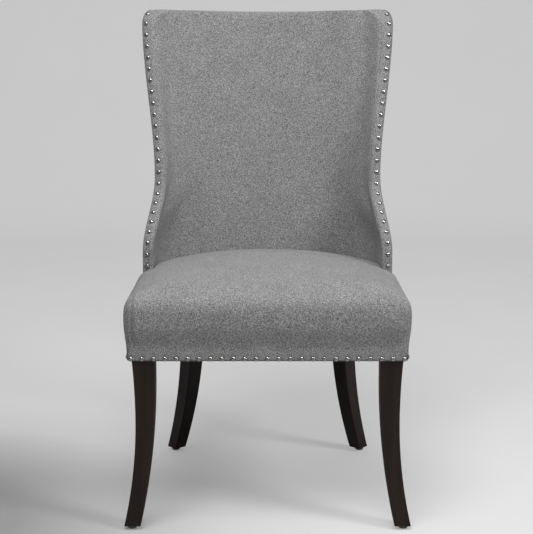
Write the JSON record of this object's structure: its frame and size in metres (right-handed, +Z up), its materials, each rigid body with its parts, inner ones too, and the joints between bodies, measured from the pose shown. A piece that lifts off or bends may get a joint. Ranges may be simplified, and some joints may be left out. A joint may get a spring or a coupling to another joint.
{
  "type": "wingback dining chair",
  "caption": "Upholstered dining chair with a crowned seat, a curved wing back, domed nail trim along its edges and outswept sabre legs.",
  "frame": {"origin": "on the floor below the middle of the chair's outline", "axes": "+Z up, front of the seat towards -Y, the sitter's left towards +X"},
  "size_m": [0.5572, 0.6216, 0.9954],
  "materials": {
    "frame_wood": "raw sawn hardwood and plywood",
    "leg_wood": "dark espresso stain, satin lacquer",
    "glide_plastic": "matt",
    "fixing_steel": "zinc plated",
    "webbing": "woven elastic",
    "padding": "foam and polyester wadding",
    "grey_fabric": "flecked grey woven wool",
    "nail_nickel": "polished nickel",
    "dust_cloth": "black nonwoven"
  },
  "bodies": {
    "root": {"front_rail": "frame_wood", "rear_rail": "frame_wood", "right_rail": "frame_wood", "left_rail": "frame_wood", "front_right_block": "frame_wood", "front_left_block": "frame_wood", "rear_right_brace": "frame_wood", "rear_left_brace": "frame_wood", "front_right_leg": "leg_wood", "front_left_leg": "leg_wood", "rear_right_leg": "leg_wood", "rear_left_leg": "leg_wood", "foot_glides": "glide_plastic", "glide_pins": "fixing_steel", "rail_dowels": "frame_wood", "block_screws": "fixing_steel", "leg_bolts": "fixing_steel", "leg_washers": "fixing_steel", "leg_nuts": "fixing_steel", "shell_screws": "fixing_steel", "long_webbing": "webbing", "cross_webbing": "webbing", "seat_foam": "padding", "seat_wadding": "padding", "seat_cover": "grey_fabric", "back_shell": "frame_wood", "back_foam": "padding", "back_wadding": "padding", "inside_back_cover": "grey_fabric", "outside_back_cover": "grey_fabric", "right_wing_band": "grey_fabric", "left_wing_band": "grey_fabric", "seat_nails": "nail_nickel", "right_wing_nails": "nail_nickel", "left_wing_nails": "nail_nickel", "dust_cover": "dust_cloth"}
  },
  "joints": []
}
